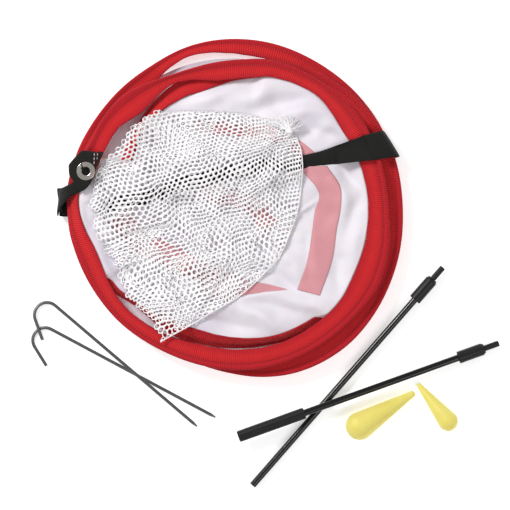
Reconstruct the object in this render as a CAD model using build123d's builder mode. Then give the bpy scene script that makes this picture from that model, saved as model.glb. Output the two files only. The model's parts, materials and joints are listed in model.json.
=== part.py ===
from build123d import *
import os
from math import asin, atan, cos, degrees, pi, radians, sin, sqrt, tan

# Folded pop-up net kit, in millimetres. +Z is up and the ground is Z = 0. The origin is the centre
# of the folded hoop, on the ground. Angles are in degrees, turning from +X towards +Y.

# ---- folded hoop: one wire whose three coils pass over and under each other ----
coil_count = 3
coil_radius = 134.0           # mean radius of the coils
strand_gap = 1.7              # between the bindings of two coils side by side
stack_gap = 2.8               # between the beads of two coils that pass over each other
pinch = 0.7                   # share of the spread that the tab and the strap squeeze out
pinch_sharpness = 6           # how short the squeezed stretch is
corners_per_turn = 12         # the path's bends in one turn
bend_share = 0.45             # of the shorter run beside a bend, taken by its arc
wire_radius = 1.1
butt_gap = 0.3                # between the wire's two ends
sleeve_wall = 0.5
sleeve_bend = 20              # the bend of the path that the sleeve is on
tunnel_clearance = 0.1

# ---- binding: webbing folded over the wire and sewn to the panel ----
tape_width = 17.0
tape_thickness = 0.8
seam_gap = 0.6                # between the two legs, for the panel's edge
tape_tilt = 0.5               # the tape leans with the slope of its coil

# ---- strap round the bundle ----
strap_width = 25.0
strap_thickness = 1.1
strap_heading = 10.1
strap_offset = 30.3           # from the hoop's centre to the strap's centre line
strap_corner = 2.5
strap_ease = 0.9              # between the strap and the rim
loose_gap = 0.3               # between soft pieces that lie on each other

# ---- knitted panel in three layers, with its ring band ----
layer_thickness = 1.2
ring_width = 19.0
ring_radius = 94.0            # to the corners of its outer edge
ring_thickness = 0.5
ring_sides = 8
ring_centre = (-8.0, -2.0)
ring_turn = 12.0

# ---- tab and grommet ----
tab_thickness = 2.2
tab_place = 163.6             # direction of the tab's stitch line from the hoop's centre
tab_inset = 10.4              # how far the stitch line is inside the mean radius
tab_heading = 168.4           # direction of the flap from its stitch line
tab_corner = 2.0
tab_outline = ((0, -13), (16.7, -12.9), (25.9, 2.7), (23.6, 11.5), (10.9, 24.5), (0, 13))
tab_swing_outline = tab_outline[:-1] + ((0, 24.5),)    # the plan that stays clear when it folds
sewn_end_length = 5.5
sewn_end_width = 13.0
grommet_at = (9.6, 5.0)       # from the middle of the stitch line
grommet_hole_radius = 3.5
grommet_wall = 0.7
grommet_flange_radius = 7.8
grommet_sheet = 0.8

# ---- net pocket, gathered and tied at one end ----
pocket_thickness = 6.0
pocket_corner = 9.0
pocket_gap = 6.0              # between the pocket and the tab, for the pocket to swing up past it
pocket_outline = (
    (-124, 4), (-119, 30), (-96, 62), (-66, 84), (-13, 85), (20, 80), (46, 70), (62, 50), (63, 22),
    (56, -10), (42, -44), (10, -78), (-39, -107), (-60, -119), (-72, -104), (-104, -52), (-123, -17),
)
knot_at = (53.0, 62.0)
knot_heading = 92.0
neck_radius = 2.5
neck_length = 9.0
tie_wall = 1.4
tie_length = 3.5
tuft_length = 15.0
tuft_width = 23.0
tuft_thickness = 4.0

# ---- pole halves ----
rod_radius = 3.05
fitting_radius = 5.5
fitting_length = 25.0
fitting_grip = 16.0           # how deep the rod sits in its fitting
fitting_chamfer = 0.5
fitting_nose_length = 2.4
fitting_nose_radius = 4.0
spigot_radius = 2.65
spigot_length = 13.7          # outside the fitting
spigot_seat = 6.0             # inside the fitting
spigot_seat_radius = 2.3
spigot_relief = 0.5           # the seat's radius goes on this far outside the fitting
spigot_chamfer = 0.6
ferrule_radius = 5.15
ferrule_chamfer = 0.9
ferrule_length = 63.3
ferrule_socket = 33.0         # open depth for the other half's plain end
ferrule_web = 3.0
socket_clearance = 0.1
pole_a_visible = 221.4        # plain rod outside the fitting
pole_b_visible = 146.7        # plain rod between the ferrule and the fitting
pole_a_heading = 48.9
pole_a_gap = 25.6             # from the rim to the pole's centre line
pole_a_along = -175.5         # its plain end, along the pole, from the point nearest the hoop
pole_a_crossing = 94.1        # from its plain end to where the halves cross
pole_b_heading = 19.65
pole_b_crossing = 79.4        # from its ferrule's mouth to where the halves cross
contact_gap = 0.12            # between loose pieces that lie on each other

# ---- wire pegs ----
peg_radius = 1.45
peg_shank = 167.7
peg_point = 5.0               # length of the tapered point
peg_point_radius = 0.6
hook_radius = 11.3
hook_turn = 150.0
hook_leg = 20.0
peg_lower_heading = -28.17
peg_lower_gap = 19.6          # from the rim to the shank
peg_lower_along = -90.9
peg_upper_turn = -12.15       # from the lower peg's heading
peg_upper_at = (-6.9, 20.5)   # the upper peg's bend, in the lower peg's directions

# ---- floats ----
large_radius = 12.6
large_tip_radius = 3.0
large_length = 71.5
large_at = (34.0, -17.0)      # from where the pole halves cross
large_heading = 30.6
small_radius = 9.0
small_tip_radius = 2.25
small_length = 52.0
small_at = (113.4, -12.8)
small_heading = 128.8

# ---- sizes that follow from the ones above ----
sleeve_radius = wire_radius + sleeve_wall
tunnel_radius = sleeve_radius + tunnel_clearance
bead_radius = tunnel_radius + tape_thickness
coil_step = radians(180 / coil_count)
coil_spread = (tape_width + strand_gap) / 2 / sin(coil_step)   # a coil's stray in and out
coil_rise = (2 * bead_radius + stack_gap) / sin(coil_step)     # its stray up and down
wire_path_radius = coil_radius + tape_width / 2 - bead_radius
coil_bottom = strap_thickness + loose_gap + tape_tilt
coil_middle = coil_bottom + bead_radius + coil_rise
coil_top = coil_middle + coil_rise + bead_radius + tape_tilt
rim_radius = coil_radius + coil_spread + tape_width / 2
panel_radius = coil_radius - coil_spread - tape_width / 2 - loose_gap
panel_top = coil_top - ring_thickness
strap_inside_top = coil_top + loose_gap
strap_top = strap_inside_top + strap_thickness
tab_bottom = max(strap_top, coil_top + grommet_sheet) + loose_gap
pocket_bottom = strap_top + loose_gap
pocket_middle = pocket_bottom + pocket_thickness / 2

os.makedirs("parts", exist_ok=True)


def ahead(heading):
    """The level direction of a heading."""
    return Vector(cos(radians(heading)), sin(radians(heading)), 0)


def across(heading):
    """The level direction to the right of a heading."""
    return Vector(sin(radians(heading)), -cos(radians(heading)), 0)


def lying(start, heading, climb):
    """The plane of a piece that starts at a point and runs along its X, with a climb."""
    along = ahead(heading) * cos(radians(climb)) + Vector(0, 0, sin(radians(climb)))
    return Plane(origin=start, x_dir=along, z_dir=across(heading).cross(along))


def save(piece, name):
    """Label a finished piece and write its STEP file."""
    piece.part.label = name
    export_step(piece.part, "parts/" + name + ".step")


# ---- the path of the hoop: straight runs joined by arcs ----
def coil_corner(corner):
    """A corner of the coiled path, which comes back to its start after coil_count turns."""
    turn = 2 * pi * corner / corners_per_turn
    phase = turn / coil_count
    squeeze = 1 - pinch * max(0.0, -cos(turn)) ** pinch_sharpness
    radius = wire_path_radius + coil_spread * squeeze * cos(phase)
    radius = radius / cos(pi / corners_per_turn)
    return Vector(radius * cos(turn), radius * sin(turn), coil_middle + coil_rise * sin(phase))


corner_count = coil_count * corners_per_turn
corners = [coil_corner(corner) for corner in range(corner_count)]
butt_middle = (corners[0] + corners[-1]) * 0.5
butt_step = (corners[0] - corners[-1]).normalized() * (butt_gap / 2)
bends = []
for corner in range(corner_count):
    before = corners[corner] - corners[corner - 1]
    after = corners[(corner + 1) % corner_count] - corners[corner]
    half_turn = radians(before.get_angle(after)) / 2
    bends.append(bend_share * min(before.length, after.length) / tan(half_turn))

with BuildLine() as coil_path:
    FilletPolyline(butt_middle + butt_step, *corners, butt_middle - butt_step, radius=bends)

coil_wire = coil_path.wires()[0]
sleeve_arc = coil_path.edges().filter_by(GeomType.CIRCLE)[sleeve_bend]


def across_path(path):
    """The plane across a path at its start, with X pointing out of the hoop."""
    tangent = path % 0
    return Plane(origin=path @ 0, x_dir=tangent.cross(Vector(0, 0, 1)), z_dir=tangent)


with BuildPart() as hoop_wire:
    with BuildSketch(across_path(coil_wire)):
        Circle(wire_radius)
    sweep(path=coil_wire)
save(hoop_wire, "hoop_wire")

with BuildPart() as hoop_sleeve:
    with BuildSketch(across_path(sleeve_arc)):
        Circle(sleeve_radius)
        Circle(wire_radius, mode=Mode.SUBTRACT)
    sweep(path=sleeve_arc)
save(hoop_sleeve, "hoop_sleeve")

leg_width = tape_width - bead_radius
inwards = (Align.MAX, Align.CENTER)

with BuildPart() as hoop_binding:
    with BuildSketch(across_path(coil_wire)):
        Circle(bead_radius)
        Rectangle(leg_width, seam_gap + 2 * tape_thickness, align=inwards)
        Rectangle(leg_width, seam_gap, align=inwards, mode=Mode.SUBTRACT)
        Circle(tunnel_radius, mode=Mode.SUBTRACT)
    sweep(path=coil_wire)
save(hoop_binding, "hoop_binding")

# ---- knitted panel: three layers, joined by a fold at the left and a fold at the right ----
strap_plane = Plane(
    origin=across(strap_heading) * -strap_offset,
    x_dir=ahead(strap_heading),
    z_dir=across(strap_heading),
)
groove_depth = strap_thickness + loose_gap
lower_layer_top = groove_depth + layer_thickness
upper_layer_bottom = panel_top - layer_thickness
middle_layer_bottom = (lower_layer_top + upper_layer_bottom - layer_thickness) / 2
middle_layer_top = middle_layer_bottom + layer_thickness

with BuildPart() as target_panel:
    with BuildSketch():
        Circle(panel_radius)
    extrude(amount=lower_layer_top)
    with BuildSketch(strap_plane):
        Rectangle(3 * rim_radius, 2 * groove_depth)
    extrude(amount=strap_width / 2 + loose_gap, both=True, mode=Mode.SUBTRACT)
    for bottom in (middle_layer_bottom, upper_layer_bottom):
        with BuildSketch(Plane.XY.offset(bottom)):
            Circle(panel_radius)
        extrude(amount=layer_thickness)
    for bottom, top, side in (
        (lower_layer_top, middle_layer_bottom, Align.MAX),
        (middle_layer_top, upper_layer_bottom, Align.MIN),
    ):
        with BuildSketch(Plane.XY.offset(bottom)):
            Circle(panel_radius)
            Circle(panel_radius - layer_thickness, mode=Mode.SUBTRACT)
            Rectangle(
                2 * panel_radius,
                2 * panel_radius,
                align=(side, Align.CENTER),
                mode=Mode.INTERSECT,
            )
        extrude(amount=top - bottom)
save(target_panel, "target_panel")

with BuildPart() as target_ring:
    with BuildSketch(Plane.XY.offset(panel_top)):
        with Locations(ring_centre):
            RegularPolygon(ring_radius, ring_sides, rotation=ring_turn)
            RegularPolygon(
                ring_radius - ring_width / cos(pi / ring_sides),
                ring_sides,
                rotation=ring_turn,
                mode=Mode.SUBTRACT,
            )
    extrude(amount=ring_thickness)
save(target_ring, "target_ring")

# ---- storage strap: one closed band round the bundle ----
strap_edge = strap_offset - strap_width / 2
strap_front = sqrt(rim_radius**2 - strap_edge**2) + strap_ease
pinched_radius = rim_radius - coil_spread * (1 + pinch) / 2
strap_back = sqrt(pinched_radius**2 - strap_edge**2) + strap_ease
strap_height = strap_inside_top - strap_thickness

with BuildPart() as storage_strap:
    with BuildSketch(strap_plane):
        with Locations(((strap_front - strap_back) / 2, strap_thickness + strap_height / 2)):
            RectangleRounded(
                strap_front + strap_back + 2 * strap_thickness,
                strap_height + 2 * strap_thickness,
                strap_corner + strap_thickness,
            )
            RectangleRounded(
                strap_front + strap_back,
                strap_height,
                strap_corner,
                mode=Mode.SUBTRACT,
            )
    extrude(amount=strap_width / 2, both=True)
save(storage_strap, "storage_strap")

# ---- tab: a flap that swings on its stitch line, and the end sewn down beside it ----
tab_plane = Plane(
    origin=ahead(tab_place) * (coil_radius - tab_inset) + Vector(0, 0, tab_bottom),
    x_dir=ahead(tab_heading),
    z_dir=(0, 0, 1),
)

with BuildPart() as tab_flap:
    with BuildSketch(tab_plane):
        with BuildLine():
            Polyline(*tab_outline, close=True)
        make_face()
        fillet(vertices().sort_by(Axis.X)[-4:], tab_corner)
        with Locations(grommet_at):
            Circle(grommet_hole_radius + grommet_wall, mode=Mode.SUBTRACT)
        with Locations((0, 0)):
            Rectangle(loose_gap, 4 * sewn_end_width, mode=Mode.SUBTRACT)
    extrude(amount=tab_thickness)
save(tab_flap, "tab_flap")

sewn_end_align = (Align.MAX, Align.MAX)

with BuildPart() as tab_sewn_end:
    with BuildSketch(tab_plane):
        with Locations((-loose_gap / 2, 0)):
            Rectangle(sewn_end_length, sewn_end_width, align=sewn_end_align)
    extrude(amount=tab_thickness)
save(tab_sewn_end, "tab_sewn_end")

grommet_axis = Axis(tab_plane.from_local_coords(Vector(*grommet_at)), (0, 0, 1))
grommet_plane = Plane(origin=grommet_axis.position, x_dir=tab_plane.x_dir, z_dir=across(tab_heading))

with BuildPart() as grommet_barrel:
    with BuildSketch(grommet_plane):
        with BuildLine():
            rolled = grommet_sheet / 2
            hole = grommet_hole_radius
            Line((hole, -grommet_sheet), (hole + grommet_wall, -grommet_sheet))
            Line((hole + grommet_wall, -grommet_sheet), (hole + grommet_wall, tab_thickness))
            Line((hole + grommet_wall, tab_thickness), (grommet_flange_radius, tab_thickness))
            CenterArc((grommet_flange_radius, tab_thickness + rolled), rolled, -90, 180)
            Line(
                (grommet_flange_radius, tab_thickness + grommet_sheet),
                (hole + 2 * grommet_sheet, tab_thickness + 1.5 * grommet_sheet),
            )
            TangentArc(
                (hole + 2 * grommet_sheet, tab_thickness + 1.5 * grommet_sheet),
                (hole, tab_thickness),
                tangent=(-1, 0.1),
            )
            Line((hole, tab_thickness), (hole, -grommet_sheet))
        make_face()
    revolve(axis=grommet_axis)
save(grommet_barrel, "grommet_barrel")

with BuildPart() as grommet_washer:
    with BuildSketch(tab_plane.offset(-grommet_sheet)):
        with Locations(grommet_at):
            Circle(grommet_flange_radius)
            Circle(grommet_hole_radius + grommet_wall, mode=Mode.SUBTRACT)
    extrude(amount=grommet_sheet)
    fillet(edges().group_by(Axis.Z)[0].sort_by(SortBy.RADIUS)[-1:], grommet_sheet / 2)
save(grommet_washer, "grommet_washer")

# ---- net pocket: a limp bag lying flat, with its gathered neck and the tuft beyond the tie ----
knot_plane = Plane(
    origin=(knot_at[0], knot_at[1], pocket_middle),
    x_dir=across(knot_heading),
    z_dir=ahead(knot_heading),
)
tuft_plane = Plane(
    origin=knot_plane.from_local_coords(Vector(0, 0, neck_length)),
    x_dir=ahead(knot_heading),
    z_dir=(0, 0, 1),
)

with BuildPart() as pocket_net:
    with BuildSketch(Plane.XY.offset(pocket_bottom)):
        with BuildLine():
            FilletPolyline(*pocket_outline, radius=pocket_corner, close=True)
        make_face()
    extrude(amount=pocket_thickness)
    with BuildSketch(tab_plane):
        with BuildLine():
            Polyline(*tab_swing_outline, close=True)
        make_face()
        Rectangle(sewn_end_length, sewn_end_width, align=sewn_end_align)
        offset(amount=pocket_gap)
    extrude(amount=2 * pocket_thickness, both=True, mode=Mode.SUBTRACT)
    with BuildSketch(knot_plane):
        Circle(neck_radius)
    extrude(amount=neck_length)
    with BuildSketch(tuft_plane.offset(-tuft_thickness / 2)):
        with BuildLine():
            Polyline(
                (0, -neck_radius),
                (tuft_length, -tuft_width / 2),
                (tuft_length, tuft_width / 2),
                (0, neck_radius),
                close=True,
            )
        make_face()
    extrude(amount=tuft_thickness)
save(pocket_net, "pocket_net")

with BuildPart() as pocket_tie:
    with BuildSketch(knot_plane.offset(neck_length - tie_length)):
        Circle(neck_radius + tie_wall)
        Circle(neck_radius, mode=Mode.SUBTRACT)
    extrude(amount=tie_length)
save(pocket_tie, "pocket_tie")


# ---- pole halves: turned pieces on one axis ----
def turned(plane, outline):
    """A solid of revolution about a plane's X, from (along, radius) points."""
    with BuildPart() as piece:
        with BuildSketch(plane):
            with BuildLine():
                Polyline(*outline, close=True)
            make_face()
        revolve(axis=Axis(plane.origin, plane.x_dir))
    return piece


def rod(plane, start, end):
    """A plain round rod between two places on its axis."""
    return turned(plane, ((start, 0), (start, rod_radius), (end, rod_radius), (end, 0)))


def fitting(plane, start):
    """The sleeve at a pole's tip: the rod sits in one end and the spigot in the other."""
    end = start + fitting_length
    return turned(plane, (
        (start, rod_radius),
        (start, fitting_radius - fitting_chamfer),
        (start + fitting_chamfer, fitting_radius),
        (end - fitting_nose_length, fitting_radius),
        (end, fitting_nose_radius),
        (end, spigot_seat_radius),
        (end - spigot_seat, spigot_seat_radius),
        (end - spigot_seat, 0),
        (start + fitting_grip, 0),
        (start + fitting_grip, rod_radius),
    ))


def spigot(plane, start):
    """The pin at a pole's tip, with a thinner seat in the fitting and a chamfered end."""
    face = start + fitting_length
    end = face + spigot_length
    return turned(plane, (
        (face - spigot_seat, 0),
        (face - spigot_seat, spigot_seat_radius),
        (face + spigot_relief, spigot_seat_radius),
        (face + spigot_relief, spigot_radius),
        (end - spigot_chamfer, spigot_radius),
        (end, spigot_radius - spigot_chamfer),
        (end, 0),
    ))


pole_a_foot = across(pole_a_heading) * (rim_radius + pole_a_gap)
pole_a_end = pole_a_foot + ahead(pole_a_heading) * pole_a_along
pole_a_climb = degrees(asin((fitting_radius - rod_radius) / pole_a_visible))
pole_a_plane = lying(pole_a_end + Vector(0, 0, rod_radius), pole_a_heading, pole_a_climb)

pole_a_rod = rod(pole_a_plane, 0, pole_a_visible + fitting_grip)
save(pole_a_rod, "pole_a_rod")
pole_a_fitting = fitting(pole_a_plane, pole_a_visible)
save(pole_a_fitting, "pole_a_fitting")
pole_a_spigot = spigot(pole_a_plane, pole_a_visible)
save(pole_a_spigot, "pole_a_spigot")

poles_cross = pole_a_end + ahead(pole_a_heading) * pole_a_crossing
crossing_height = 3 * rod_radius + pole_a_crossing * sin(radians(pole_a_climb)) + contact_gap
pole_b_fitting_start = ferrule_length + pole_b_visible
pole_b_rest = pole_b_fitting_start + fitting_length - pole_b_crossing
pole_b_climb = -degrees(asin((crossing_height - fitting_radius) / pole_b_rest))
pole_b_mouth = poles_cross - ahead(pole_b_heading) * pole_b_crossing * cos(radians(pole_b_climb))
pole_b_mouth += Vector(0, 0, crossing_height - pole_b_crossing * sin(radians(pole_b_climb)))
pole_b_plane = lying(pole_b_mouth, pole_b_heading, pole_b_climb)
socket_radius = rod_radius + socket_clearance
ferrule_shoulder = ferrule_radius - ferrule_chamfer

pole_b_rod = rod(pole_b_plane, ferrule_socket + ferrule_web, pole_b_fitting_start + fitting_grip)
save(pole_b_rod, "pole_b_rod")
pole_b_ferrule = turned(pole_b_plane, (
    (0, socket_radius),
    (0, ferrule_shoulder),
    (ferrule_chamfer, ferrule_radius),
    (ferrule_length - ferrule_chamfer, ferrule_radius),
    (ferrule_length, ferrule_shoulder),
    (ferrule_length, rod_radius),
    (ferrule_socket + ferrule_web, rod_radius),
    (ferrule_socket + ferrule_web, 0),
    (ferrule_socket, 0),
    (ferrule_socket, socket_radius),
))
save(pole_b_ferrule, "pole_b_ferrule")
pole_b_fitting = fitting(pole_b_plane, pole_b_fitting_start)
save(pole_b_fitting, "pole_b_fitting")
pole_b_spigot = spigot(pole_b_plane, pole_b_fitting_start)
save(pole_b_spigot, "pole_b_spigot")


# ---- wire pegs: a straight shank, a bend and a short leg ----
def peg(plane):
    """A hooked wire peg whose bend starts at the plane's origin; its shank runs along X."""
    taper = degrees(atan((peg_radius - peg_point_radius) / peg_point))
    with BuildPart() as piece:
        with BuildLine(plane) as path:
            shank = Line((peg_shank - peg_point, 0), (0, 0))
            bend = CenterArc((0, -hook_radius), hook_radius, 90, hook_turn)
            PolarLine(bend @ 1, hook_leg, direction=bend % 1)
        with BuildSketch(Plane(origin=shank @ 0, z_dir=shank % 0)):
            Circle(peg_radius)
        sweep(path=path.wires()[0])
        with BuildSketch(Plane(origin=shank @ 0, z_dir=-(shank % 0))):
            Circle(peg_radius)
        extrude(amount=peg_point, taper=taper)
    return piece


peg_lower_foot = across(peg_lower_heading) * (rim_radius + peg_lower_gap)
peg_lower_bend = peg_lower_foot + ahead(peg_lower_heading) * peg_lower_along
peg_lower_plane = lying(peg_lower_bend + Vector(0, 0, peg_radius), peg_lower_heading, 0)
peg_lower = peg(peg_lower_plane)
save(peg_lower, "peg_lower")

# The upper peg rests on the lower one at two crossings, and its bend touches the ground.
peg_upper_heading = peg_lower_heading + peg_upper_turn
peg_upper_bend = (
    peg_lower_bend
    + ahead(peg_lower_heading) * peg_upper_at[0]
    - across(peg_lower_heading) * peg_upper_at[1]
)
shank_gap = (peg_lower_bend - peg_upper_bend).dot(across(peg_lower_heading))
shank_crossing = peg_upper_bend + ahead(peg_upper_heading) * (
    shank_gap / ahead(peg_upper_heading).dot(across(peg_lower_heading))
)
leg_heading = peg_upper_heading + 180 + hook_turn
upper_hook_middle = peg_upper_bend + across(peg_upper_heading) * hook_radius
lower_hook_middle = peg_lower_bend + across(peg_lower_heading) * hook_radius
leg_start = upper_hook_middle + across(leg_heading) * hook_radius
to_hook = lower_hook_middle - leg_start
nearest = to_hook.dot(ahead(leg_heading))
leg_crossing = leg_start + ahead(leg_heading) * (
    nearest - sqrt(hook_radius**2 - to_hook.length**2 + nearest**2)
)
stack_height = Vector(0, 0, 3 * peg_radius + contact_gap)
off_crossings = Vector(0, 0, 1).cross(leg_crossing - shank_crossing).normalized()
if off_crossings.dot(upper_hook_middle - shank_crossing) < 0:
    off_crossings = -off_crossings
ground_touch = upper_hook_middle + off_crossings * hook_radius + Vector(0, 0, peg_radius)
rest_normal = (leg_crossing - shank_crossing).cross(
    ground_touch - shank_crossing - stack_height
).normalized()
if rest_normal.Z < 0:
    rest_normal = -rest_normal


def on_rest(point):
    """Lift a ground point to the plane in which the upper peg rests."""
    slope = rest_normal.dot(point - shank_crossing) / rest_normal.Z
    return point + stack_height - Vector(0, 0, slope)


upper_shank = on_rest(shank_crossing) - on_rest(peg_upper_bend)
peg_upper = peg(Plane(origin=on_rest(peg_upper_bend), x_dir=upper_shank, z_dir=rest_normal))
save(peg_upper, "peg_upper")


# ---- teardrop floats, lying on their sides ----
def teardrop(middle, heading, radius, tip_radius, length):
    """A round body with a cone tangent to it and to a small round tip."""
    reach = length - radius - tip_radius
    lean = asin((radius - tip_radius) / reach)
    plane = lying(middle + Vector(0, 0, radius), heading, -degrees(lean))
    side = 90 - degrees(lean)
    with BuildPart() as piece:
        with BuildSketch(plane):
            with BuildLine():
                back = CenterArc((0, 0), radius, side, 180 - side)
                tip = CenterArc((reach, 0), tip_radius, 0, side)
                Line(back @ 0, tip @ 1)
                Line(back @ 1, tip @ 0)
            make_face()
        revolve(axis=Axis(plane.origin, plane.x_dir))
    return piece


large_middle = poles_cross + Vector(*large_at)
float_large = teardrop(large_middle, large_heading, large_radius, large_tip_radius, large_length)
save(float_large, "float_large")
small_middle = poles_cross + Vector(*small_at)
float_small = teardrop(small_middle, small_heading, small_radius, small_tip_radius, small_length)
save(float_small, "float_small")
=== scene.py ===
import json
import random
from math import cos, hypot, pi, radians, sin, sqrt

import bpy
import numpy as np
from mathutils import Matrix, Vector, noise


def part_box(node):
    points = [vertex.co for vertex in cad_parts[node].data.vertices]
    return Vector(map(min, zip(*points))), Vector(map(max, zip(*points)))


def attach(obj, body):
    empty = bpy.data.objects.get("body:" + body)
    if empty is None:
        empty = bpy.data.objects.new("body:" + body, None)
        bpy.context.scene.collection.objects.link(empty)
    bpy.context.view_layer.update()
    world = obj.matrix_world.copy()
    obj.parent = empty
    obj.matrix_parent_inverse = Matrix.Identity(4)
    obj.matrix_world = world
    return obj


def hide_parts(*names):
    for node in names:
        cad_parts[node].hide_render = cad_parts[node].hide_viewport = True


# A folded pop-up net kit on a pale floor. Plans and heights below are in millimetres in the
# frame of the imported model: X to the right, Y away, Z up, origin under the middle of the hoop.
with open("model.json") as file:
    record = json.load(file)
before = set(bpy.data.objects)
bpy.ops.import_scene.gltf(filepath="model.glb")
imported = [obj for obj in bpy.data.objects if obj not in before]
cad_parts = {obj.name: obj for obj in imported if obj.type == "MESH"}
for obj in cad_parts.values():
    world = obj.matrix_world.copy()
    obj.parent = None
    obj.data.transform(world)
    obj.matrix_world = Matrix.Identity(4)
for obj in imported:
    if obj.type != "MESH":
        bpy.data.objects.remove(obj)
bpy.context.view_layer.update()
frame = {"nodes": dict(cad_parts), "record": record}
MM = 0.001


def low(node):
    """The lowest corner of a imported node, in millimetres."""
    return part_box(node)[0] / MM


def high(node):
    """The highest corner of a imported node, in millimetres."""
    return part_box(node)[1] / MM


TAB_BOTTOM = low("tab_flap").z
TAB_TOP = high("tab_flap").z
POCKET_TOP = high("pocket_net").z
FLOOR_CLEARANCE = 0.1
TAPE_WIDTH = 0.0185             # of the webbing, in metres, as its cloth directions run


# ---------------------------------------------------------------- mesh helpers
def add_object(name, data):
    """A new object in the scene."""
    made = bpy.data.objects.new(name, data)
    bpy.context.scene.collection.objects.link(made)
    return made


def add_piece(name, points, faces, material, uv=None):
    """A mesh piece from points in millimetres, with an optional UV pair for each point."""
    mesh = bpy.data.meshes.new(name)
    mesh.from_pydata((np.asarray(points, float) * MM).tolist(), [], faces)
    mesh.validate()
    if uv is not None:
        layer = mesh.uv_layers.new(name="cloth")
        for loop in mesh.loops:
            layer.data[loop.index].uv = uv[loop.vertex_index]
    mesh.shade_smooth()
    mesh.materials.append(material)
    return add_object(name, mesh)


def add_modifier(piece, kind, **settings):
    """Add a modifier with the given settings to a piece."""
    modifier = piece.modifiers.new(kind.lower(), kind)
    for key, value in settings.items():
        setattr(modifier, key, value)


def grid_faces(rows, columns, close_rows=False, close_columns=False):
    """The quads between rows of points, each of columns points."""
    faces = []
    for row in range(rows if close_rows else rows - 1):
        here, after = row * columns, (row + 1) % rows * columns
        for column in range(columns if close_columns else columns - 1):
            beside = (column + 1) % columns
            faces.append((here + column, here + beside, after + beside, after + column))
    return faces


def capped_faces(rows, columns):
    """The quads of a closed band of rows, and a face over each end."""
    last = (rows - 1) * columns
    ends = [tuple(range(columns))[::-1], tuple(range(last, last + columns))]
    return grid_faces(rows, columns, close_columns=True) + ends


def smooth_track(keys, places, period=None):
    """Rows of numbers interpolated by a smooth curve; a key's first number is its place."""
    keys = np.array(keys, float)
    if period:
        step = np.zeros(keys.shape[1])
        step[0] = period
        keys = np.vstack([keys[-2:] - step, keys, keys[:2] + step])
    place, value = keys[:, 0], keys[:, 1:]
    slope = np.gradient(value, place, axis=0)
    places = np.asarray(places, float)
    if period:
        places = (places - place[2]) % period + place[2]
    index = np.clip(np.searchsorted(place, places, side="right") - 1, 0, len(place) - 2)
    width = place[index + 1] - place[index]
    t = ((places - place[index]) / width)[:, None]
    width = width[:, None]
    return (
        (2 * t**3 - 3 * t**2 + 1) * value[index]
        + (t**3 - 2 * t**2 + t) * width * slope[index]
        + (3 * t**2 - 2 * t**3) * value[index + 1]
        + (t**3 - t**2) * width * slope[index + 1]
    )


def above_floor(points):
    """Points held just above the floor."""
    points = np.array(points)
    points[:, 2] = np.maximum(points[:, 2], FLOOR_CLEARANCE)
    return points


def walked_places(line):
    """How far along a flat line of points each of them lies."""
    return np.concatenate([[0], np.cumsum(np.hypot(*np.diff(line, axis=0).T))])


def smooth_line(points, count):
    """Evenly spaced points on a smooth curve through given ones."""
    points = np.array(points, float)
    runs = np.linalg.norm(np.diff(points[:, :3], axis=0), axis=1)
    place = np.concatenate([[0], np.cumsum(runs)])
    keys = np.column_stack([place, points])
    return smooth_track(keys, np.linspace(0, place[-1] - 1e-6, count))


def inside(outline, x, y):
    """Which points are inside a closed outline."""
    result = np.zeros(np.shape(x), bool)
    for (x0, y0), (x1, y1) in zip(outline, np.roll(outline, -1, axis=0)):
        crosses = (y0 > y) != (y1 > y)
        if y1 != y0:
            result ^= crosses & (x < (x1 - x0) * (y - y0) / (y1 - y0) + x0)
    return result


def nearest_on(outline, x, y):
    """The nearest point of a closed outline to a point, and its distance."""
    starts = np.asarray(outline, float)
    runs = np.roll(starts, -1, axis=0) - starts
    offset = np.array([x, y]) - starts
    share = np.clip((offset * runs).sum(1) / (runs**2).sum(1), 0, 1)
    feet = starts + runs * share[:, None]
    distance = np.hypot(*(feet - [x, y]).T)
    best = distance.argmin()
    return feet[best], distance[best]


def along_line(line, x, y):
    """For each point, its signed distance to the left of a line of points, and its end fade."""
    line = np.asarray(line, float)
    best = np.full(np.shape(x), 1e9)
    side = np.zeros(np.shape(x))
    total = np.hypot(*np.diff(line, axis=0).T).sum()
    place = np.zeros(np.shape(x))
    walked = 0.0
    for (x0, y0), (x1, y1) in zip(line[:-1], line[1:]):
        run = hypot(x1 - x0, y1 - y0)
        ux, uy = (x1 - x0) / run, (y1 - y0) / run
        step = np.clip((x - x0) * ux + (y - y0) * uy, 0, run)
        away = np.hypot(x - x0 - step * ux, y - y0 - step * uy)
        closer = away < best
        turn = ux * (y - y0) - uy * (x - x0)
        side = np.where(closer, np.sign(turn), side)
        place = np.where(closer, (walked + step) / total, place)
        best = np.where(closer, away, best)
        walked += run
    return best * side, place


def step_up(amount):
    """A smooth step from 0 to 1 as an amount passes 0."""
    return 1 / (1 + np.exp(-amount))


def ridge(x, y, line, width, height):
    """A soft fold along a line, fading towards its ends."""
    away, place = along_line(line, x, y)
    fade = np.sin(np.clip(place, 0.02, 0.98) * pi) ** 0.6
    return height * fade * np.exp(-((away / width) ** 2))


def lap(x, y, line, height, sharp, reach):
    """A fold with a steep face on a line: it rises to the line's left and then dies away."""
    away, place = along_line(line, x, y)
    fade = np.clip(np.minimum(place, 1 - place) * 6 + 0.15, 0, 1)
    rise = step_up(np.clip(away / sharp, -30, 30))
    return height * fade * rise * np.exp(-np.clip(away, 0, None) / reach)


def rumple(x, y, size, seed):
    """Smooth noise over a plan, about -1 to 1."""
    flat = np.column_stack([np.ravel(x), np.ravel(y)]) / size
    values = [noise.noise(Vector((a, b, seed))) for a, b in flat]
    return np.reshape(values, np.shape(x))


def square_to(tangent, vector):
    """The direction nearest to a vector that is square to a tangent."""
    side = vector - tangent * vector.dot(tangent)
    return side / np.linalg.norm(side)


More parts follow.
